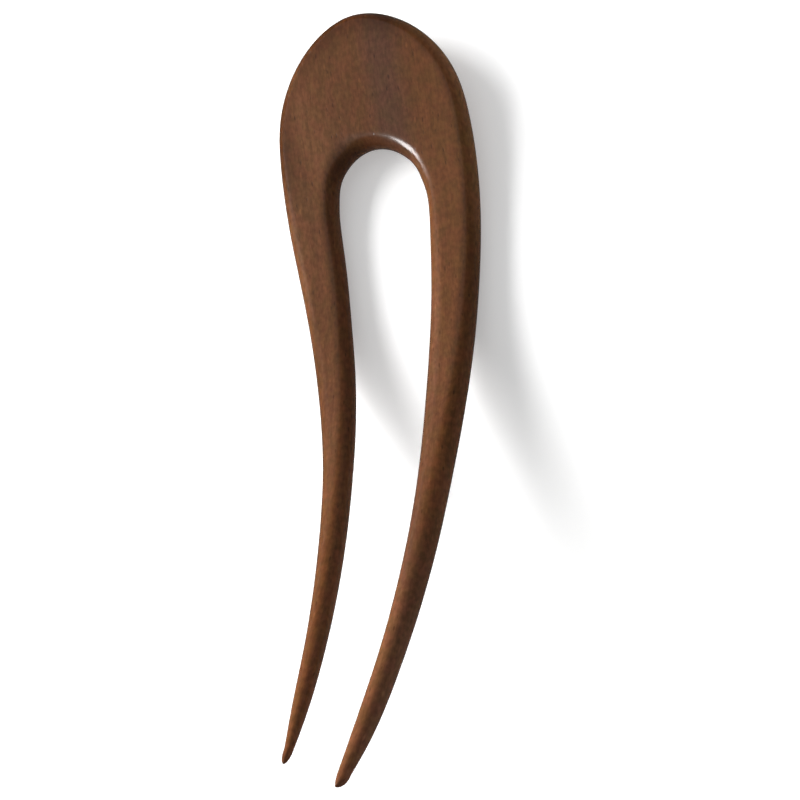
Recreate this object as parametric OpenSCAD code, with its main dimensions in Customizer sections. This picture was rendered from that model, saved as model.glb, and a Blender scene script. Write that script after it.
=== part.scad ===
// U-shaped hair fork carved from one board of hardwood.
// A broad rounded head runs into two tapering prongs, and the whole fork is bowed to follow
// the back of a head. It lies on its bowed back: z = 0 is the surface below it, +Y points
// from the tips to the crown, and +X to the right with the hollow side up.
// The shape is drawn flat first, as control sections along the right half, and then bent.

/* [Fork] */
// Length from the crown to the tip of the right prong, measured along the bow
fork_length = 130; // [110:1:150]
// Width across the head
head_width = 35; // [30:0.5:40]
// Thickness of the board along the edge of the head
head_thickness = 4.7; // [4:0.1:6]
// How much the left prong stops short of the right one
left_short = 3.7; // [0:0.1:6]
// Width and thickness of the left prong as a share of the right one's
left_share = 0.91; // [0.85:0.01:1]
// Length of the rounded point at the end of each prong
point_length = 2.1; // [0.8:0.1:2.4]

/* [Bow] */
// Strength of the bow, where 1 fits a head
bow = 1; // [0.2:0.05:1.1]

/* [Smoothness] */
// Steps from one control section to the next
span_steps = 5; // [2:1:6]
// Steps round each rounded edge
edge_steps = 5; // [3:1:6]
// Points across the front and across the back, between the edges
face_points = 2; // [1:1:3]

/* [Hidden] */

// Length, width and thickness at which the control sections are drawn
DRAWN_LENGTH = 130;
DRAWN_WIDTH = 35.14;
DRAWN_THICKNESS = 4.7;

// Control sections of the right half, from the crown to the tip.
// x is the distance from the centre line and y the distance from the crown, on the flat board.
// The inner point lies on the arch or the inner edge, the outer point on the outer edge.
// The edge columns say how far in from each edge the faces begin to round off.
// columns: inner x, inner y, outer x, outer y, thickness, inner edge, outer edge
SECTIONS = [
    [0,   22.8, 0,    -0.9, 5.4, 2.6, 1.8],
    [3.8, 23.9, 7.6,  1.9,  5.1, 2.9, 2.1],
    [7.3, 27.2, 13.1, 7.1,  4.8, 3.3, 2.7],
    [8,   30.8, 16.5, 13.6, 4.7, 3.5, 3.2],
    [8.6, 33.9, 17.6, 21.1, 4.7, 3.6, 3.5],
    [7.9, 42,   17.7, 34,   4.6, 3.5, 3.6],
    [7.4, 52,   15.9, 48,   4.7, 3.4, 3.3],
    [6.2, 66,   13.6, 64,   4.8, 2.9, 3.1],
    [5.9, 81,   11.1, 80,   4.6, 2.4, 2.8],
    [5.2, 96,   9.6,  96,   4.4, 2.1, 2.1],
    [4.6, 111,  7.9,  111,  3.7, 1.7, 1.6],
    [4,   122,  7,    122,  3.1, 1.4, 1.3],
    [3.9, 130,  5.5,  130,  1.7, 0.7, 0.7]
];

// Names for the columns of a section
INNER_X = 0;
INNER_Y = 1;
OUTER_X = 2;
OUTER_Y = 3;
THICK = 4;
INNER_EDGE = 5;
OUTER_EDGE = 6;

// Height of a rounded edge as a share of the thickness
EDGE_SHARE = 0.47;
// Share of the width that the two rounded edges can take up together
EDGE_ROOM = 0.998;

// How much of its full difference from the right prong the left one shows.
// columns: distance from the crown, part of the difference
LEFT_PROFILE = [
    [30,  0],
    [55,  1],
    [112, 1],
    [130, 3]
];

// How far the hand-sawn gap strays to the right of the centre line.
// columns: distance from the crown, stray
GAP_STRAY = [
    [22, -0.35],
    [34, 0.4],
    [52, 0.15],
    [80, 0]
];

// How much further in the left side of the arch is rounded over than the right side.
// columns: distance from the crown, extra edge
LEFT_ARCH_EDGE = [
    [22, 0],
    [24, 1.2],
    [32, 0.2],
    [44, 0]
];

// Sideways lean of the right prong's point, outward positive
RIGHT_POINT_LEAN = -0.6;

// Slope of the side view in degrees, at equal steps from the crown to the tip, as it lies
BOW_SLOPES = [-7, -7.5, 0, 17, 29, 41, 51];

// Distance from the crown at which the left prong begins to be drawn shorter
SHORT_START = 44;
// Length of the short straight steps of the side view
SIDE_STEP = 1;
// Rings in the rounded point of a prong
POINT_RINGS = 4;

// Last row of a list
function last(rows) = rows[len(rows) - 1];

// Rows in the opposite order
function turned(rows) = [for (i = [len(rows) - 1:-1:0]) rows[i]];

// Row at a place on the smooth curve (cubic B-spline) that the control rows describe
function blend_row(rows, place) =
    let (
        count = len(rows),
        i = min(floor(place), count - 2),
        f = place - i,
        before = i > 0 ? rows[i - 1] : 2 * rows[0] - rows[1],
        after = i < count - 2 ? rows[i + 2] : 2 * rows[count - 1] - rows[count - 2]
    )
    (pow(1 - f, 3) * before
        + (3 * pow(f, 3) - 6 * pow(f, 2) + 4) * rows[i]
        + (-3 * pow(f, 3) + 3 * pow(f, 2) + 3 * f + 1) * rows[i + 1]
        + pow(f, 3) * after) / 6;

// Share of the full section that the left prong keeps at a distance from the crown
function share_at(y) = 1 - (1 - left_share) * lookup(y, LEFT_PROFILE);

// How much the left prong is drawn back at a distance from the crown
function drawn_back(y) = left_short * max(y - SHORT_START, 0) / (DRAWN_LENGTH - SHORT_START);

// Control section of the left half that answers to one of the right half
function left_row(row) =
    let (
        share = share_at(row[OUTER_Y]),
        middle = (row[OUTER_X] + row[INNER_X]) / 2,
        half = (row[OUTER_X] - row[INNER_X]) / 2 * share
    )
    [
        half - middle,
        row[INNER_Y] - drawn_back(row[INNER_Y]),
        -half - middle,
        row[OUTER_Y] - drawn_back(row[OUTER_Y]),
        row[THICK] * share,
        row[INNER_EDGE] * share + lookup(row[INNER_Y], LEFT_ARCH_EDGE),
        row[OUTER_EDGE] * share
    ];

// Control section with its inner point moved by the stray of the gap
function strayed(row) = row + [lookup(row[INNER_Y], GAP_STRAY), 0, 0, 0, 0, 0, 0];

// Control sections from the left tip over the crown to the right tip
LEFT_SECTIONS = [for (i = [1:len(SECTIONS) - 1]) left_row(SECTIONS[i])];
CONTROL = [for (row = concat(turned(LEFT_SECTIONS), SECTIONS)) strayed(row)];

// Scale from the drawn board to the driving dimensions.
// The rounded point adds its own length beyond the last section.
scale_x = head_width / DRAWN_WIDTH;
scale_y = (fork_length - point_length) / DRAWN_LENGTH;
scale_t = head_thickness / DRAWN_THICKNESS;

// Section in real size
function sized(row) = [
    row[INNER_X] * scale_x,
    row[INNER_Y] * scale_y,
    row[OUTER_X] * scale_x,
    row[OUTER_Y] * scale_y,
    row[THICK] * scale_t,
    row[INNER_EDGE] * scale_t,
    row[OUTER_EDGE] * scale_t
];

// Smooth sections along the whole fork
STATIONS = [
    for (k = [0:(len(CONTROL) - 1) * span_steps])
        sized(blend_row(CONTROL, k / span_steps))
];

// Slope of the side view at a distance from the crown
function slope_at(y) =
    bow * blend_row(BOW_SLOPES, min(max(y / fork_length, 0), 1) * (len(BOW_SLOPES) - 1));

// Side view: distance along the bow, distance along the floor, and height
SIDE = [
    for (y = 0, floor_y = 0, z = 0;
         y <= fork_length + SIDE_STEP;
         floor_y = floor_y + SIDE_STEP * cos(slope_at(y + SIDE_STEP / 2)),
         z = z + SIDE_STEP * sin(slope_at(y + SIDE_STEP / 2)),
         y = y + SIDE_STEP)
        [y, floor_y, z]
];
SIDE_FLOOR = [for (p = SIDE) [p[0], p[1]]];
SIDE_HEIGHT = [for (p = SIDE) [p[0], p[2]]];

// Point of the bent fork for a point of the flat board, with h the height over its middle
function bent(p) =
    let (y = p[0][1], h = p[1], slope = slope_at(y))
    [
        p[0][0],
        h * sin(slope) - lookup(y, SIDE_FLOOR),
        h * cos(slope) + lookup(y, SIDE_HEIGHT)
    ];

// Outline of one section with its edges rounded, as pairs of board point and height.
// along is the direction from the middle of the section towards its outer edge.
function section_outline(middle, along, width, thick, inner_edge, outer_edge) =
    let (
        fitting = min(1, EDGE_ROOM * width / (inner_edge + outer_edge)),
        edge_height = EDGE_SHARE * thick
    )
    [
        for (corner = [0:3])
            let (
                outside = corner == 0 || corner == 3,
                side = outside ? 1 : -1,
                face = corner < 2 ? 1 : -1,
                near_edge = fitting * (outside ? outer_edge : inner_edge),
                far_edge = fitting * (outside ? inner_edge : outer_edge),
                near_u = side * (width / 2 - near_edge),
                far_u = side * (far_edge - width / 2)
            )
            for (k = [0:edge_steps + (corner % 2 == 0 ? face_points : 0)])
                let (
                    on_edge = k <= edge_steps,
                    a = corner * 90 + 90 * min(k / edge_steps, 1),
                    across = (k - edge_steps) / (face_points + 1),
                    edge_h = face * (thick / 2 - edge_height) + edge_height * sin(a),
                    u = on_edge ? near_u + near_edge * cos(a) : near_u + (far_u - near_u) * across,
                    h = on_edge ? edge_h : face * thick / 2
                )
                [middle + along * u, h]
    ];

// Ring of one section, shrunk and moved to close a prong's point
function ring(row, shrink = 1, move = [0, 0]) =
    let (
        inner = [row[INNER_X], row[INNER_Y]],
        outer = [row[OUTER_X], row[OUTER_Y]],
        width = norm(outer - inner),
        along = (outer - inner) / width,
        middle = (inner + outer) / 2 + move
    )
    [for (p = section_outline(middle, along, width, row[THICK], row[INNER_EDGE], row[OUTER_EDGE]))
        bent([middle + (p[0] - middle) * shrink, p[1] * shrink])];

// Rings that round off a prong beyond its last section, with a sideways lean
function point_rings(row, lean = 0) = [
    for (k = [1:POINT_RINGS])
        let (a = 90 * k / (POINT_RINGS + 1))
        ring(row, cos(a), [lean * (1 - cos(a)), point_length * sin(a)])
];

// Very end of a prong
function point_end(row, lean = 0) =
    let (
        inner = [row[INNER_X], row[INNER_Y]],
        outer = [row[OUTER_X], row[OUTER_Y]]
    )
    bent([(inner + outer) / 2 + [lean, point_length], 0]);

// All rings from the left point to the right point
RINGS = concat(
    turned(point_rings(STATIONS[0])),
    [for (row = STATIONS) ring(row)],
    point_rings(last(STATIONS), RIGHT_POINT_LEAN)
);
RING_POINTS = len(RINGS[0]);
LEFT_END = len(RINGS) * RING_POINTS;
RIGHT_END = LEFT_END + 1;

POINTS = concat(
    [for (r = RINGS) each r],
    [point_end(STATIONS[0]), point_end(last(STATIONS), RIGHT_POINT_LEAN)]
);

// Triangles between neighbouring rings
SKIN = [
    for (i = [0:len(RINGS) - 2])
        for (j = [0:RING_POINTS - 1])
            let (
                a = i * RING_POINTS + j,
                b = i * RING_POINTS + (j + 1) % RING_POINTS,
                c = a + RING_POINTS,
                d = b + RING_POINTS
            )
            for (triangle = [[a, d, b], [a, c, d]]) triangle
];

// Triangles that close the two points
CLOSED = [
    for (j = [0:RING_POINTS - 1])
        let (
            next = (j + 1) % RING_POINTS,
            end = (len(RINGS) - 1) * RING_POINTS
        )
        for (triangle = [[LEFT_END, j, next], [RIGHT_END, end + next, end + j]]) triangle
];

// Least and greatest coordinate of the fork along an axis
function low(axis) = min([for (p = POINTS) p[axis]]);
function high(axis) = max([for (p = POINTS) p[axis]]);

// Move that centres the fork's box over the origin and stands it on z = 0
PLACE = [-(low(0) + high(0)) / 2, -(low(1) + high(1)) / 2, -low(2)];

// The fork: head and both prongs, carved in one piece
module hair_fork() {
    color("#6e4a34")
        translate(PLACE)
            polyhedron(points = POINTS, faces = concat(SKIN, CLOSED), convexity = 6);
}

hair_fork();
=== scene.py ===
import math

import bmesh
import bpy
from mathutils import Matrix, Vector


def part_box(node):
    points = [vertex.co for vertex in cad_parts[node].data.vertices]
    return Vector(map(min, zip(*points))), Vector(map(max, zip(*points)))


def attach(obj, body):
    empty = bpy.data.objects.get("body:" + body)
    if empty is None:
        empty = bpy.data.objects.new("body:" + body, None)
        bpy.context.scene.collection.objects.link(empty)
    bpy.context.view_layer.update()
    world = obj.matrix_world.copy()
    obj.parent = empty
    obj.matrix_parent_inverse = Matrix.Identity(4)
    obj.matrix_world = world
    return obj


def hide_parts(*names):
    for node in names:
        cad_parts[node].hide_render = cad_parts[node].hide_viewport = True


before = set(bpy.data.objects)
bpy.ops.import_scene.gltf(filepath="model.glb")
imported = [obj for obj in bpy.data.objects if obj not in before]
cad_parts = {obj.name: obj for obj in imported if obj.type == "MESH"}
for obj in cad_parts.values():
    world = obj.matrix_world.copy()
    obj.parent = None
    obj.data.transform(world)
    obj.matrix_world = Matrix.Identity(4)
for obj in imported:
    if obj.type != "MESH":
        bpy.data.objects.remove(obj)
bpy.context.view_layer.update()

# Hair fork
# One board of mid-brown hardwood, sawn to a u with a broad rounded head, a narrow arch and
# two tapering prongs. Its edges are rounded over by hand, it is bowed along its whole length
# to follow the back of a head, and it is sanded fine and oiled to a satin sheen.
MM = 0.001
# Length along the bow and width across the head, in millimetres, as all sizes of the fork are
FORK_LENGTH = 130
HEAD_WIDTH = 35
# Length of the rounded point at the end of each prong
POINT_LENGTH = 2.1
# Width and thickness of the left prong as a share of the right one's
LEFT_SHARE = 0.91
# How much the left prong stops short, and how far from the crown it begins to be drawn shorter
LEFT_SHORT = 3.7
SHORT_START = 44
# Sideways lean of the right prong's point, outward positive
RIGHT_POINT_LEAN = -0.6
# Length and width at which the sections are drawn
DRAWN_LENGTH = 130
DRAWN_WIDTH = 35.14

# Sections of the right half on the flat board, from the crown to the tip.
# x is the distance from the centre line and y the distance from the crown.
# The inner point lies on the arch or the inner edge, the outer point on the outer edge.
# The edge columns say how far in from each edge the faces begin to round off.
# columns: inner x, inner y, outer x, outer y, thickness, inner edge, outer edge
SECTIONS = [
    [0, 22.8, 0, -0.9, 5.4, 2.6, 1.8],
    [3.8, 23.9, 7.6, 1.9, 5.1, 2.9, 2.1],
    [7.3, 27.2, 13.1, 7.1, 4.8, 3.3, 2.7],
    [8, 30.8, 16.5, 13.6, 4.7, 3.5, 3.2],
    [8.6, 33.9, 17.6, 21.1, 4.7, 3.6, 3.5],
    [7.9, 42, 17.7, 34, 4.6, 3.5, 3.6],
    [7.4, 52, 15.9, 48, 4.7, 3.4, 3.3],
    [6.2, 66, 13.6, 64, 4.8, 2.9, 3.1],
    [5.9, 81, 11.1, 80, 4.6, 2.4, 2.8],
    [5.2, 96, 9.6, 96, 4.4, 2.1, 2.1],
    [4.6, 111, 7.9, 111, 3.7, 1.7, 1.6],
    [4, 122, 7, 122, 3.1, 1.4, 1.3],
    [3.9, 130, 5.5, 130, 1.7, 0.7, 0.7],
]
INNER_X, INNER_Y, OUTER_X, OUTER_Y, THICK, INNER_EDGE, OUTER_EDGE = range(7)
# Height of a rounded edge as a share of the thickness
EDGE_SHARE = 0.47
# Share of the width that the two rounded edges can take up together
EDGE_ROOM = 0.998

# How much of its full difference from the right prong the left one shows.
# columns: distance from the crown, part of the difference
LEFT_PROFILE = [[30, 0], [55, 1], [112, 1], [130, 3]]
# How far the hand-sawn gap strays to the right of the centre line.
# columns: distance from the crown, stray
GAP_STRAY = [[22, -0.35], [34, 0.4], [52, 0.15], [80, 0]]
# How much further in the left side of the arch is rounded over than the right side.
# columns: distance from the crown, extra edge
LEFT_ARCH_EDGE = [[22, 0], [24, 1.2], [32, 0.2], [44, 0]]
# Slope of the side view in degrees, at equal steps from the crown to the tip, as it lies
BOW_SLOPES = [-7, -7.5, 0, 17, 29, 41, 51]

# Fineness of the mesh: rings from one section to the next, steps round each rounded edge,
# points across each face, and rings in the rounded point of a prong
SPAN_STEPS = 14
EDGE_STEPS = 10
FACE_POINTS = 9
POINT_RINGS = 8
# Points of the mesh that lie closer together than this become one
WELD = 0.002


def blend_row(rows, place):
    """Row at a place on the smooth curve (cubic B-spline) that the control rows describe."""
    i = min(int(place), len(rows) - 2)
    f = place - i
    before = rows[i - 1] if i > 0 else [2 * a - b for a, b in zip(rows[0], rows[1])]
    after = rows[i + 2] if i < len(rows) - 2 else [2 * a - b for a, b in zip(rows[-1], rows[-2])]
    weights = (
        (1 - f) ** 3,
        3 * f ** 3 - 6 * f ** 2 + 4,
        -3 * f ** 3 + 3 * f ** 2 + 3 * f + 1,
        f ** 3,
    )
    near = (before, rows[i], rows[i + 1], after)
    return [sum(w * row[c] for w, row in zip(weights, near)) / 6 for c in range(len(rows[0]))]


def between(table, place):
    """Value in a table of two columns at a place, on straight lines between its rows."""
    if place <= table[0][0]:
        return table[0][1]
    for (a, low), (b, high) in zip(table, table[1:]):
        if place <= b:
            return low + (high - low) * (place - a) / (b - a)
    return table[-1][1]


def left_row(row):
    """Section of the left half that answers to one of the right half: slimmer and drawn back."""
    share = 1 - (1 - LEFT_SHARE) * between(LEFT_PROFILE, row[OUTER_Y])
    middle = (row[OUTER_X] + row[INNER_X]) / 2
    half = (row[OUTER_X] - row[INNER_X]) / 2 * share

    def back(y):
        return y - LEFT_SHORT * max(y - SHORT_START, 0) / (DRAWN_LENGTH - SHORT_START)

    return [
        half - middle,
        back(row[INNER_Y]),
        -half - middle,
        back(row[OUTER_Y]),
        row[THICK] * share,
        row[INNER_EDGE] * share + between(LEFT_ARCH_EDGE, row[INNER_Y]),
        row[OUTER_EDGE] * share,
    ]


def section_ring(row, shrink=1, forward=0, aside=0):
    """Points round one section on the flat board, as (x, minus y, height over its middle)."""
    inner = Vector((row[INNER_X], row[INNER_Y]))
    outer = Vector((row[OUTER_X], row[OUTER_Y]))
    width = (outer - inner).length
    along = (outer - inner) / width
    middle = (inner + outer) / 2 + Vector((aside, forward))
    fitting = min(1, EDGE_ROOM * width / (row[INNER_EDGE] + row[OUTER_EDGE]))
    edge_h = EDGE_SHARE * row[THICK]
    ring = []
    for corner in range(4):
        outside = corner in (0, 3)
        side = 1 if outside else -1
        face = 1 if corner < 2 else -1
        near_edge = fitting * row[OUTER_EDGE if outside else INNER_EDGE]
        far_edge = fitting * row[INNER_EDGE if outside else OUTER_EDGE]
        near_u = side * (width / 2 - near_edge)
        far_u = side * (far_edge - width / 2)
        for k in range(EDGE_STEPS + 1):
            a = math.radians(90 * (corner + k / EDGE_STEPS))
            h = face * (row[THICK] / 2 - edge_h) + edge_h * math.sin(a)
            ring.append((near_u + near_edge * math.cos(a), h))
        if corner % 2 == 0:
            for k in range(1, FACE_POINTS + 1):
                across = k / (FACE_POINTS + 1)
                ring.append((near_u + (far_u - near_u) * across, face * row[THICK] / 2))
    flat_points = [middle + along * u * shrink for u, h in ring]
    return [(p.x * MM, -p.y * MM, h * shrink * MM) for p, (u, h) in zip(flat_points, ring)]


def point_rings(row, aside=0):
    """Rings that round off a prong beyond its last section, and its very end."""
    rings = []
    for k in range(1, POINT_RINGS + 1):
        a = math.radians(90 * k / (POINT_RINGS + 1))
        lean = aside * (1 - math.cos(a))
        rings.append(section_ring(row, math.cos(a), POINT_LENGTH * math.sin(a), lean))
    end_x = (row[INNER_X] + row[OUTER_X]) / 2 + aside
    end_y = (row[INNER_Y] + row[OUTER_Y]) / 2 + POINT_LENGTH
    return rings, (end_x * MM, -end_y * MM, 0)


# The flat board: rings from the tip of the left prong, over the head, to that of the right one
controls = [left_row(row) for row in reversed(SECTIONS[1:])] + [list(row) for row in SECTIONS]
for row in controls:
    row[INNER_X] += between(GAP_STRAY, row[INNER_Y])
scale_x = HEAD_WIDTH / DRAWN_WIDTH
scale_y = (FORK_LENGTH - POINT_LENGTH) / DRAWN_LENGTH
scales = [scale_x, scale_y, scale_x, scale_y, 1, 1, 1]
stations = []
for k in range((len(controls) - 1) * SPAN_STEPS + 1):
    stations.append([a * s for a, s in zip(blend_row(controls, k / SPAN_STEPS), scales)])

left_rings, left_end = point_rings(stations[0])
right_rings, right_end = point_rings(stations[-1], RIGHT_POINT_LEAN)
rings = left_rings[::-1] + [section_ring(row) for row in stations] + right_rings
round_count = len(rings[0])
points = [p for ring in rings for p in ring] + [left_end, right_end]
faces = []
for i in range(len(rings) - 1):
    for j in range(round_count):
        a = i * round_count + j
        b = i * round_count + (j + 1) % round_count
        faces.append((a, b, b + round_count, a + round_count))
last_ring = (len(rings) - 1) * round_count
for j in range(round_count):
    after = (j + 1) % round_count
    faces.append((len(points) - 2, after, j))
    faces.append((len(points) - 1, last_ring + j, last_ring + after))

board = bpy.data.meshes.new("flat_board")
board.from_pydata(points, [], faces)
shaping = bmesh.new()
shaping.from_mesh(board)
bmesh.ops.remove_doubles(shaping, verts=shaping.verts, dist=WELD * MM)
bmesh.ops.recalc_face_normals(shaping, faces=shaping.faces)
shaping.to_mesh(board)
shaping.free()
fork = bpy.data.objects.new("hair_fork_hardwood", board)
bpy.context.scene.collection.objects.link(fork)


def linear(hex_colour):
    """Linear colour for an sRGB hex value."""
    channels = [int(hex_colour[k : k + 2], 16) / 255 for k in (1, 3, 5)]
    toned = [c / 12.92 if c <= 0.04045 else ((c + 0.055) / 1.055) ** 2.4 for c in channels]
    return (*toned, 1)


def add(tree, kind, inputs=None, **settings):
    """Adds a node with its settings, and sets or links its inputs, given by name or number."""
    node = tree.nodes.new(kind)
    for name, value in settings.items():
        setattr(node, name, value)
    for key, value in (inputs or {}).items():
        if isinstance(value, bpy.types.Node):
            value = value.outputs[0]
        if isinstance(value, bpy.types.NodeSocket):
            tree.links.new(value, node.inputs[key])
        else:
            node.inputs[key].default_value = value
    return node


def draw_curve(mapping, spots):
    """Draws a curve through spots, the first and the last of which lie at its two ends."""
    curve = mapping.curves[0]
    curve.points[0].location = spots[0]
    curve.points[-1].location = spots[-1]
    for place, height in spots[1:-1]:
        curve.points.new(place, height)
    mapping.update()


# The bow: the flat board is laid along the side view, a line that is walked in short steps
# whose slope follows BOW_SLOPES, and its sanded faces stay a little uneven, as hand work does.
SIDE_STEPS = 130
# Points of the curve of slopes, and the slope in degrees that it draws as 1
SLOPE_POINTS = 13
STEEPEST = 90
# Height of the unevenness from hollow to swell, the length of its waves, and its seed
UNEVEN = 0.06
UNEVEN_LENGTH = 9
UNEVEN_SEED = 4.0

bow = bpy.data.node_groups.new("bow_the_board", "GeometryNodeTree")
for name, kind in (
    ("Board", "NodeSocketGeometry"),
    ("Fork Length", "NodeSocketFloat"),
    ("Bow", "NodeSocketFloat"),
    ("Unevenness", "NodeSocketFloat"),
    ("Seed", "NodeSocketFloat"),
    ("Wood", "NodeSocketMaterial"),
):
    bow.interface.new_socket(name, in_out="INPUT", socket_type=kind)
bow.interface.new_socket("Fork", in_out="OUTPUT", socket_type="NodeSocketGeometry")
given = add(bow, "NodeGroupInput").outputs

# Each step takes the slope at its own middle
HALF_STEP = 0.5
index = add(bow, "GeometryNodeInputIndex")
half_on = add(bow, "ShaderNodeMath", {0: index, 1: HALF_STEP}, operation="ADD")
share = add(bow, "ShaderNodeMath", {0: half_on, 1: SIDE_STEPS}, operation="DIVIDE")
slope_curve = add(bow, "ShaderNodeFloatCurve", {"Value": share})
slope_curve.mapping.use_clip = False
slope_rows = [[slope] for slope in BOW_SLOPES]
slope_spots = []
for k in range(SLOPE_POINTS):
    place = k / (SLOPE_POINTS - 1)
    degrees = blend_row(slope_rows, place * (len(BOW_SLOPES) - 1))[0]
    slope_spots.append((place, degrees / STEEPEST))
draw_curve(slope_curve.mapping, slope_spots)
slope = add(
    bow, "ShaderNodeMath", {0: slope_curve, 1: math.radians(STEEPEST)}, operation="MULTIPLY"
)
bowed = add(bow, "ShaderNodeMath", {0: slope, 1: given["Bow"]}, operation="MULTIPLY")
step = add(bow, "ShaderNodeMath", {0: given["Fork Length"], 1: SIDE_STEPS}, operation="DIVIDE")
cosine = add(bow, "ShaderNodeMath", {0: bowed}, operation="COSINE")
sine = add(bow, "ShaderNodeMath", {0: bowed}, operation="SINE")
back = add(bow, "ShaderNodeMath", {0: cosine, 1: -1}, operation="MULTIPLY")
direction = add(bow, "ShaderNodeCombineXYZ", {"Y": back, "Z": sine})
stride = add(bow, "ShaderNodeVectorMath", {0: direction, "Scale": step}, operation="SCALE")
walked = add(bow, "GeometryNodeAccumulateField", {0: stride}, data_type="FLOAT_VECTOR")
dots = add(bow, "GeometryNodeMeshLine", {"Count": SIDE_STEPS + 2, "Offset": (0, 0, 0)})
line = add(
    bow, "GeometryNodeSetPosition", {"Geometry": dots, "Position": walked.outputs["Trailing"]}
)
side_view = add(bow, "GeometryNodeMeshToCurve", {"Mesh": line})

flat = add(bow, "GeometryNodeInputPosition")
flat_xyz = add(bow, "ShaderNodeSeparateXYZ", {"Vector": flat}).outputs
distance = add(bow, "ShaderNodeMath", {0: flat_xyz["Y"], 1: -1}, operation="MULTIPLY")
sample = add(
    bow,
    "GeometryNodeSampleCurve",
    {"Curves": side_view, "Length": distance},
    mode="LENGTH",
    use_all_curves=True,
)
upward = add(
    bow,
    "ShaderNodeVectorMath",
    {0: sample.outputs["Tangent"], 1: (1, 0, 0)},
    operation="CROSS_PRODUCT",
)
lift = add(bow, "ShaderNodeVectorMath", {0: upward, "Scale": flat_xyz["Z"]}, operation="SCALE")
across = add(bow, "ShaderNodeCombineXYZ", {"X": flat_xyz["X"]})
spot = add(
    bow, "ShaderNodeVectorMath", {0: sample.outputs["Position"], 1: across}, operation="ADD"
)
bent = add(bow, "ShaderNodeVectorMath", {0: spot, 1: lift}, operation="ADD")
# The place on the flat board is kept as an attribute, so that the grain follows the bow
kept = add(
    bow,
    "GeometryNodeStoreNamedAttribute",
    {"Geometry": given["Board"], "Name": "board", "Value": flat},
    data_type="FLOAT_VECTOR",
    domain="POINT",
)
laid = add(bow, "GeometryNodeSetPosition", {"Geometry": kept, "Position": bent})

drawn_at = add(bow, "GeometryNodeInputNamedAttribute", {"Name": "board"}, data_type="FLOAT_VECTOR")
waves = add(
    bow,
    "ShaderNodeTexNoise",
    {"Vector": drawn_at, "W": given["Seed"], "Scale": 1 / (UNEVEN_LENGTH * MM), "Detail": 1.0},
    noise_dimensions="4D",
)
centred = add(bow, "ShaderNodeMath", {0: waves, 1: 0.5}, operation="SUBTRACT")
depth = add(bow, "ShaderNodeMath", {0: centred, 1: given["Unevenness"]}, operation="MULTIPLY")
outward = add(bow, "GeometryNodeInputNormal")
moved = add(bow, "ShaderNodeVectorMath", {0: outward, "Scale": depth}, operation="SCALE")
sanded = add(bow, "GeometryNodeSetPosition", {"Geometry": laid, "Offset": moved})
smooth = add(bow, "GeometryNodeSetShadeSmooth", {"Geometry": sanded})
real = add(bow, "GeometryNodeRealizeInstances", {"Geometry": smooth})
finished = add(bow, "GeometryNodeSetMaterial", {"Geometry": real, "Material": given["Wood"]})
add(bow, "NodeGroupOutput", {"Fork": finished})

# Sandalwood, sanded fine and oiled: a warm mid brown with a satin sheen. Soft bands, fibres,
# pores and flecks run along the board. Its heart is duller and its right side more orange.
# Painted shade darkens the head's left rim, a painted reflection pales its right flank, and
# painted light brightens the inner edge of the right prong towards its tip.
DARK_BAND = "#51311a"
MIDDLE_BAND = "#5d3920"
LIGHT_BAND = "#684228"
HEART_WOOD = "#503425"
RIGHT_WOOD = "#603a1e"
# Red, green and blue that a part gives back, as shares of what the plain wood does. The rim's
# are painted shade, the flank's a painted reflection and the edge's painted light, standing in
# for light that the lamps below don't match in full.
PLAIN = (1, 1, 1, 1)
REDDER_PATCH = (1.05, 0.98, 1.03, 1)
GREENER_PATCH = (0.96, 1.02, 0.93, 1)
# Painted shade: the head's left rim darker and more orange
PAINTED_SHADE_RIM = (0.5, 0.41, 0.27, 1)
RIGHT_FACE = (0.94, 0.94, 0.92, 1)
# Painted reflection: the head's right flank paler and greyer
PAINTED_REFLECTION_FLANK = (1.42, 1.6, 1.7, 1)
# Painted light: the right prong's inner edge lighter towards its tip
PAINTED_LIGHT_EDGE = (1.35, 1.25, 0.98, 1)
# The thin oil film mirrors a little less than lacquer would, and fills a part of each pore
OIL_IOR = 1.38
PORE_DEPTH = 0.03
PORES_LEFT_OPEN = 0.4
# Height of the fibres as a share of the depth of a pore
FIBRE_HEIGHT = 0.1

wood = bpy.data.materials.new("oiled_sandalwood_satin")
wood.use_nodes = True
shade = wood.node_tree
shade.nodes.clear()
where = add(shade, "ShaderNodeAttribute", attribute_name="board")
mm = add(
    shade, "ShaderNodeVectorMath", {0: where.outputs["Vector"], "Scale": 1 / MM}, operation="SCALE"
)
# The grain sways by about a millimetre over 20 mm
SWAY = 2.4
SWAY_LENGTH = 20
sway = add(shade, "ShaderNodeTexNoise", {"Vector": mm, "Scale": 1 / SWAY_LENGTH, "Detail": 1.0})
even = add(
    shade,
    "ShaderNodeVectorMath",
    {0: sway.outputs["Color"], 1: (0.5, 0.5, 0.5)},
    operation="SUBTRACT",
)
swayed = add(
    shade, "ShaderNodeVectorMath", {0: even, 1: (SWAY, 0, SWAY), 2: mm}, operation="MULTIPLY_ADD"
)
board_xyz = add(shade, "ShaderNodeSeparateXYZ", {"Vector": mm}).outputs
grain_xyz = add(shade, "ShaderNodeSeparateXYZ", {"Vector": swayed}).outputs

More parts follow.
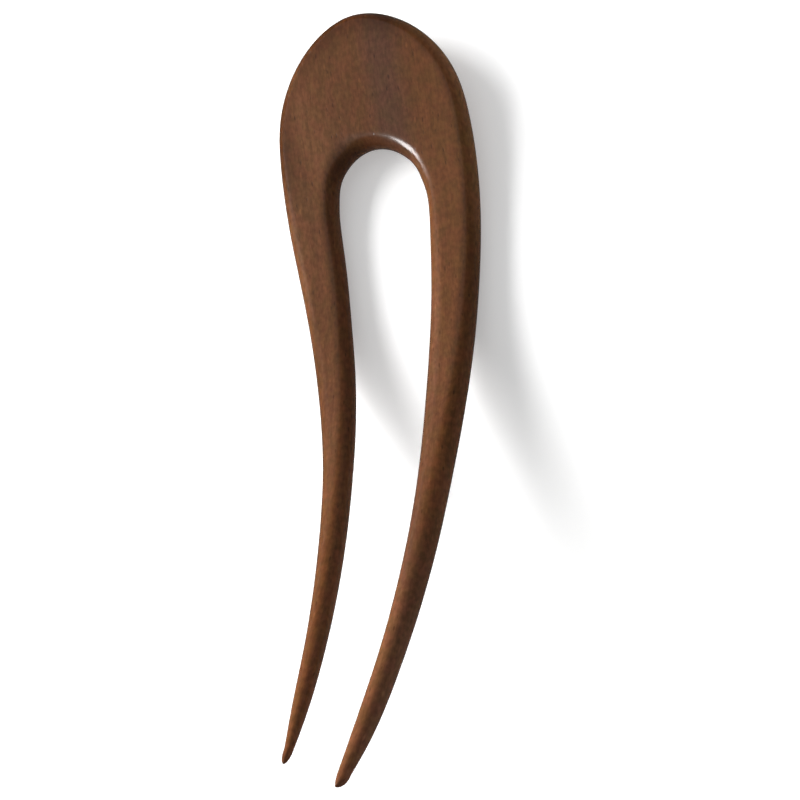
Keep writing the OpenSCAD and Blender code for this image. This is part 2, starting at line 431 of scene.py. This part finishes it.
# Patterns of the grain. Real fibres and pores are 0.1 mm wide or less, too fine to show, so
# the fibres are drawn 0.24 mm wide, and the pores 0.25 mm wide and 0.8 mm long.
# columns: texture, width, length, detail
PATTERNS = {
    "bands": ("ShaderNodeTexNoise", 4.5, 45, 3.0),
    "layers": ("ShaderNodeTexNoise", 1.3, 22, 2.0),
    "fibres": ("ShaderNodeTexNoise", 0.24, 2.2, 2.0),
    "mottle": ("ShaderNodeTexNoise", 0.6, 0.9, 2.0),
    "patches": ("ShaderNodeTexNoise", 1.8, 2.6, 2.0),
    "pore cells": ("ShaderNodeTexVoronoi", 0.9, 2.8, 0.0),
    "fleck cells": ("ShaderNodeTexVoronoi", 1.5, 3.4, 0.0),
}
pattern = {}
for name, (texture, wide, long, detail) in PATTERNS.items():
    grain = add(
        shade,
        "ShaderNodeVectorMath",
        {0: swayed, 1: (1 / wide, 1 / long, 1 / wide)},
        operation="MULTIPLY",
    )
    pattern[name] = add(shade, texture, {"Vector": grain, "Scale": 1.0, "Detail": detail})

# How far out a place lies on the head, where 1 is its edge. Below the widest place of the head
# only the distance from the centre line counts.
WIDEST_PLACE = 19.0
ROUND_HEIGHT = 19.5
rise = add(shade, "ShaderNodeMath", {0: board_xyz["Y"], 1: WIDEST_PLACE}, operation="ADD")
upper = add(shade, "ShaderNodeMath", {0: rise, 1: 0.0}, operation="MAXIMUM")
out_x = add(shade, "ShaderNodeMath", {0: board_xyz["X"], 1: HEAD_WIDTH / 2}, operation="DIVIDE")
out_y = add(shade, "ShaderNodeMath", {0: upper, 1: ROUND_HEIGHT}, operation="DIVIDE")
out_xy = add(shade, "ShaderNodeCombineXYZ", {"X": out_x, "Y": out_y})
outwards = add(shade, "ShaderNodeVectorMath", {0: out_xy}, operation="LENGTH").outputs["Value"]
# Distance from the middle of the heart, a stripe to the right of the centre line
HEART_X = 5.2
off_heart = add(shade, "ShaderNodeMath", {0: grain_xyz["X"], 1: HEART_X}, operation="SUBTRACT")
from_heart = add(shade, "ShaderNodeMath", {0: off_heart}, operation="ABSOLUTE")

# Soft steps from one level to another. On the board, y is minus the distance from the crown.
# columns: what is measured, where the step starts and ends, level before and after it
STEPS = {
    "heart": (from_heart, 0.5, 5.5, 0.9, 0),
    "right wood": (grain_xyz["X"], 6, 13, 0, 0.7),
    "patch hue": (pattern["patches"], 0.35, 0.65, 0, 1),
    "layer light": (pattern["layers"], 0.25, 0.75, 0.94, 1.06),
    "fibre light": (pattern["fibres"], 0.25, 0.75, 0.9, 1.1),
    "mottle light": (pattern["mottle"], 0.25, 0.75, 0.84, 1.16),
    "roughness": (pattern["mottle"], 0.25, 0.75, 0.17, 0.22),
    "pore shape": (pattern["pore cells"].outputs["Distance"], 0.08, 0.2, 1, 0),
    "fleck shape": (pattern["fleck cells"].outputs["Distance"], 0.06, 0.2, 1, 0),
    "head": (board_xyz["Y"], -34, -20, 0, 1),
    "head and shoulder": (board_xyz["Y"], -52, -30, 0, 1),
    "right side": (board_xyz["X"], 6, 13, 0, 1),
    "rim": (outwards, 0.66, 0.96, 0, 1),
    "flank": (outwards, 0.87, 0.95, 0, 1),
    "tip": (board_xyz["Y"], -88, -106, 0, 1),
    "inner edge": (board_xyz["X"], 5.2, 8.2, 1, 0),
    "right prong": (board_xyz["X"], -1, 1, 0, 1),
}
level = {}
for name, (measured, start, end, before, after) in STEPS.items():
    level[name] = add(
        shade,
        "ShaderNodeMapRange",
        {"Value": measured, "From Min": start, "From Max": end, "To Min": before, "To Max": after},
        interpolation_type="SMOOTHSTEP",
    )

# Pores in about every second cell, and lighter and rarer flecks, where rays are cut.
# columns: cells, random value above which a cell has a mark, light on the mark
MARKS = {
    "pore": ("pore cells", 0.5, 0.66),
    "fleck": ("fleck cells", 0.55, 1.3),
}
mark = {}
mark_light = {}
for name, (cells, limit, light) in MARKS.items():
    chance = pattern[cells].outputs["Color"]
    picked = add(shade, "ShaderNodeMath", {0: chance, 1: limit}, operation="GREATER_THAN")
    mark[name] = add(
        shade, "ShaderNodeMath", {0: level[name + " shape"], 1: picked}, operation="MULTIPLY"
    )
    mark_light[name] = add(
        shade,
        "ShaderNodeMapRange",
        {"Value": mark[name], "From Min": 0, "From Max": 1, "To Min": 1, "To Max": light},
        interpolation_type="SMOOTHSTEP",
    )

# The prongs are a little darker at half length and lighter towards the tips.
# columns: share of the fork's length from the crown, half of the light
LENGTH_LIGHT = [(0, 0.5), (0.3, 0.48), (0.55, 0.455), (0.73, 0.475), (0.88, 0.545), (1, 0.55)]
from_crown = add(
    shade, "ShaderNodeMath", {0: board_xyz["Y"], 1: -1 / FORK_LENGTH}, operation="MULTIPLY"
)
along_fork = add(shade, "ShaderNodeFloatCurve", {"Value": from_crown})
draw_curve(along_fork.mapping, LENGTH_LIGHT)
length_light = add(shade, "ShaderNodeMath", {0: along_fork, 1: 2.0}, operation="MULTIPLY")
strength = level["layer light"]
for other in (
    level["fibre light"],
    level["mottle light"],
    mark_light["pore"],
    mark_light["fleck"],
    length_light,
):
    strength = add(shade, "ShaderNodeMath", {0: strength, 1: other}, operation="MULTIPLY")

# Colours of the plain wood: its bands, and then the heart and the right side over them
tone = add(shade, "ShaderNodeValToRGB", {"Fac": pattern["bands"]})
ramp = tone.color_ramp.elements
ramp[0].position = 0.32
ramp[0].color = linear(DARK_BAND)
ramp[1].position = 0.68
ramp[1].color = linear(LIGHT_BAND)
ramp.new(0.5).color = linear(MIDDLE_BAND)

# Sockets of a Mix node for its two colours and their mixture
FIRST = 6
SECOND = 7
MIXED = 2
dull = add(
    shade,
    "ShaderNodeMix",
    {0: level["heart"], FIRST: tone, SECOND: linear(HEART_WOOD)},
    data_type="RGBA",
)
warm = add(
    shade,
    "ShaderNodeMix",
    {0: level["right wood"], FIRST: dull.outputs[MIXED], SECOND: linear(RIGHT_WOOD)},
    data_type="RGBA",
)
tint = add(
    shade,
    "ShaderNodeMix",
    {0: level["patch hue"], FIRST: REDDER_PATCH, SECOND: GREENER_PATCH},
    data_type="RGBA",
)

# Painted shade at the left rim of the head, a painted reflection down its right flank, and painted
# light on the inner edge of the right prong, which is lighter and more orange towards its tip
left_rim = add(
    shade, "ShaderNodeMath", {0: level["rim"], 1: level["head"]}, operation="MULTIPLY"
)
right_rim = add(
    shade,
    "ShaderNodeMath",
    {0: level["flank"], 1: level["head and shoulder"]},
    operation="MULTIPLY",
)
tip_edge = add(
    shade, "ShaderNodeMath", {0: level["tip"], 1: level["inner edge"]}, operation="MULTIPLY"
)
right_tip = add(
    shade, "ShaderNodeMath", {0: tip_edge, 1: level["right prong"]}, operation="MULTIPLY"
)
# Painted shade on the head's left rim
rim_shade_paint = add(
    shade, "ShaderNodeMix", {0: left_rim, FIRST: PLAIN, SECOND: PAINTED_SHADE_RIM}, data_type="RGBA"
)
# Painted reflection down the head's right flank
flank_reflection_paint = add(
    shade, "ShaderNodeMix", {0: right_rim, FIRST: RIGHT_FACE, SECOND: PAINTED_REFLECTION_FLANK}, data_type="RGBA"
)
rims = add(
    shade,
    "ShaderNodeMix",
    {0: level["right side"], FIRST: rim_shade_paint.outputs[MIXED], SECOND: flank_reflection_paint.outputs[MIXED]},
    data_type="RGBA",
)
# Painted light on the right prong's inner edge
orange = add(
    shade, "ShaderNodeMix", {0: right_tip, FIRST: PLAIN, SECOND: PAINTED_LIGHT_EDGE}, data_type="RGBA"
)
tinted = warm.outputs[MIXED]
for given_back in (tint, rims, orange):
    tinted = add(
        shade,
        "ShaderNodeVectorMath",
        {0: tinted, 1: given_back.outputs[MIXED]},
        operation="MULTIPLY",
    )
colour = add(shade, "ShaderNodeVectorMath", {0: tinted, "Scale": strength}, operation="SCALE")

relief = add(
    shade, "ShaderNodeMath", {0: pattern["fibres"], 1: FIBRE_HEIGHT}, operation="MULTIPLY"
)
pitted = add(shade, "ShaderNodeMath", {0: relief, 1: mark["pore"]}, operation="SUBTRACT")
bump = add(
    shade,
    "ShaderNodeBump",
    {"Height": pitted, "Distance": PORE_DEPTH * MM, "Strength": PORES_LEFT_OPEN},
)
shader = add(
    shade,
    "ShaderNodeBsdfPrincipled",
    {"Base Color": colour, "Roughness": level["roughness"], "IOR": OIL_IOR, "Normal": bump},
)
add(shade, "ShaderNodeOutputMaterial", {"Surface": shader})

# The board is bowed in full and becomes a plain mesh
bowing = fork.modifiers.new("bow", "NODES")
bowing.node_group = bow
named = {s.name: s.identifier for s in bow.interface.items_tree if s.in_out == "INPUT"}
bowing[named["Fork Length"]] = FORK_LENGTH * MM
bowing[named["Bow"]] = 1.0
bowing[named["Unevenness"]] = UNEVEN * MM
bowing[named["Seed"]] = UNEVEN_SEED
bowing[named["Wood"]] = wood
seen = bpy.context.evaluated_depsgraph_get()
made = bpy.data.meshes.new_from_object(fork.evaluated_get(seen), depsgraph=seen)
fork.modifiers.clear()
fork.data = made
fork.data.name = "hair_fork_hardwood"

# It lies where the solid lies: centred over the origin, its back on the floor
node_low, node_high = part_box("hair_fork")
made_low = Vector([min(v.co[k] for v in made.vertices) for k in range(3)])
made_high = Vector([max(v.co[k] for v in made.vertices) for k in range(3)])
shift = (node_low + node_high) / 2 - (made_low + made_high) / 2
shift.z = node_low.z - made_low.z
for v in made.vertices:
    v.co += shift

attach(fork, "root")
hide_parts("hair_fork")

# Floor
# A flat sheet of matt white card, on which the fork lies. It is lit a little from below, which
# makes the shadows on it paler, and the gloss of the fork doesn't reflect it.
FLOOR_HALF = 3.0  # metres
CARD = "#efefef"
CARD_ROUGHNESS = 0.9
WHITE = (1, 1, 1, 1)
LIT_FROM_BELOW = 0.35
corners = [(-1, -1), (1, -1), (1, 1), (-1, 1)]
floor_mesh = bpy.data.meshes.new("pale_floor")
floor_mesh.from_pydata([(x * FLOOR_HALF, y * FLOOR_HALF, 0) for x, y in corners], [], [(0, 1, 2, 3)])
floor = bpy.data.objects.new("pale_floor", floor_mesh)
bpy.context.scene.collection.objects.link(floor)
floor.visible_glossy = False
sheet = bpy.data.materials.new("pale_matt_card")
sheet.use_nodes = True
card = sheet.node_tree.nodes["Principled BSDF"].inputs
card["Base Color"].default_value = linear(CARD)
card["Roughness"].default_value = CARD_ROUGHNESS
card["Emission Color"].default_value = WHITE
card["Emission Strength"].default_value = LIT_FROM_BELOW
floor_mesh.materials.append(sheet)

# Light
# A large softbox low on the left and a small lamp that only makes the gleam at the arch, with
# weak ones overhead and behind. The room is dim, and its far walls look paler to the camera.
ROOM_STRENGTH = 0.12
WALL_STRENGTH = 0.45
room = bpy.data.worlds.new("pale_room")
bpy.context.scene.world = room
room.use_nodes = True
air = room.node_tree
air.nodes.clear()
dim = add(air, "ShaderNodeBackground", {"Color": WHITE, "Strength": ROOM_STRENGTH})
pale = add(air, "ShaderNodeBackground", {"Color": WHITE, "Strength": WALL_STRENGTH})
ray = add(air, "ShaderNodeLightPath")
seen_room = add(air, "ShaderNodeMixShader", {0: ray.outputs["Is Camera Ray"], 1: dim, 2: pale})
add(air, "ShaderNodeOutputWorld", {"Surface": seen_room})

# Each lamp is a rectangle that faces the fork. Sizes are in metres and powers in watts.
# columns: direction, distance, width, height, power, shows in the gloss, lights the wood
LAMPS = {
    "low_left": ((-0.85, 0.38, 0.37), 1.2, 1.0, 0.8, 48, False, True),
    "small_lamp": ((-0.727, -0.102, 0.679), 0.9, 0.28, 0.35, 10.5, True, False),
    "overhead": ((-0.324, 0.187, 0.927), 1.2, 1.7, 1.7, 3.6, True, True),
    "behind": ((0.5, 0.8, 0.3), 1.2, 0.8, 0.6, 1.8, False, True),
}
for name, (direction, away, width, height, power, in_gloss, on_wood) in LAMPS.items():
    lamp = bpy.data.lights.new(name, "AREA")
    lamp.shape = "RECTANGLE"
    lamp.size = width
    lamp.size_y = height
    lamp.energy = power
    softbox = bpy.data.objects.new(name, lamp)
    toward = Vector(direction).normalized()
    softbox.location = toward * away
    softbox.rotation_euler = toward.to_track_quat("Z", "Y").to_euler()
    softbox.visible_glossy = in_gloss
    softbox.visible_diffuse = on_wood
    bpy.context.scene.collection.objects.link(softbox)

# Camera
# It stands close by, above the fork and to its right, looks down at its middle, and is turned
# a little about its own axis. Lengths are in millimetres and the turn in degrees.
CAMERA_PLACE = Vector((72.4, -33.5, 165.5)) * MM
CAMERA_AIM = Vector((3.39, -7.54, 10)) * MM
CAMERA_TURN = -5.49
FOCAL_LENGTH = 50.18
NEAREST_SEEN = 10
camera_data = bpy.data.cameras.new("photo_camera")
camera_data.lens = FOCAL_LENGTH
camera_data.clip_start = NEAREST_SEEN * MM
camera = bpy.data.objects.new("photo_camera", camera_data)
backward = (CAMERA_PLACE - CAMERA_AIM).normalized()
upright = (Vector((0, 1, 0)) - backward.y * backward).normalized()
rightward = upright.cross(backward)
straight = Matrix((rightward, upright, backward)).transposed()
turned = straight @ Matrix.Rotation(math.radians(CAMERA_TURN), 3, "Z")
camera.matrix_world = Matrix.LocRotScale(CAMERA_PLACE, turned.to_quaternion(), None)
bpy.context.scene.collection.objects.link(camera)
bpy.context.scene.camera = camera
bpy.context.scene.view_settings.view_transform = "Standard"
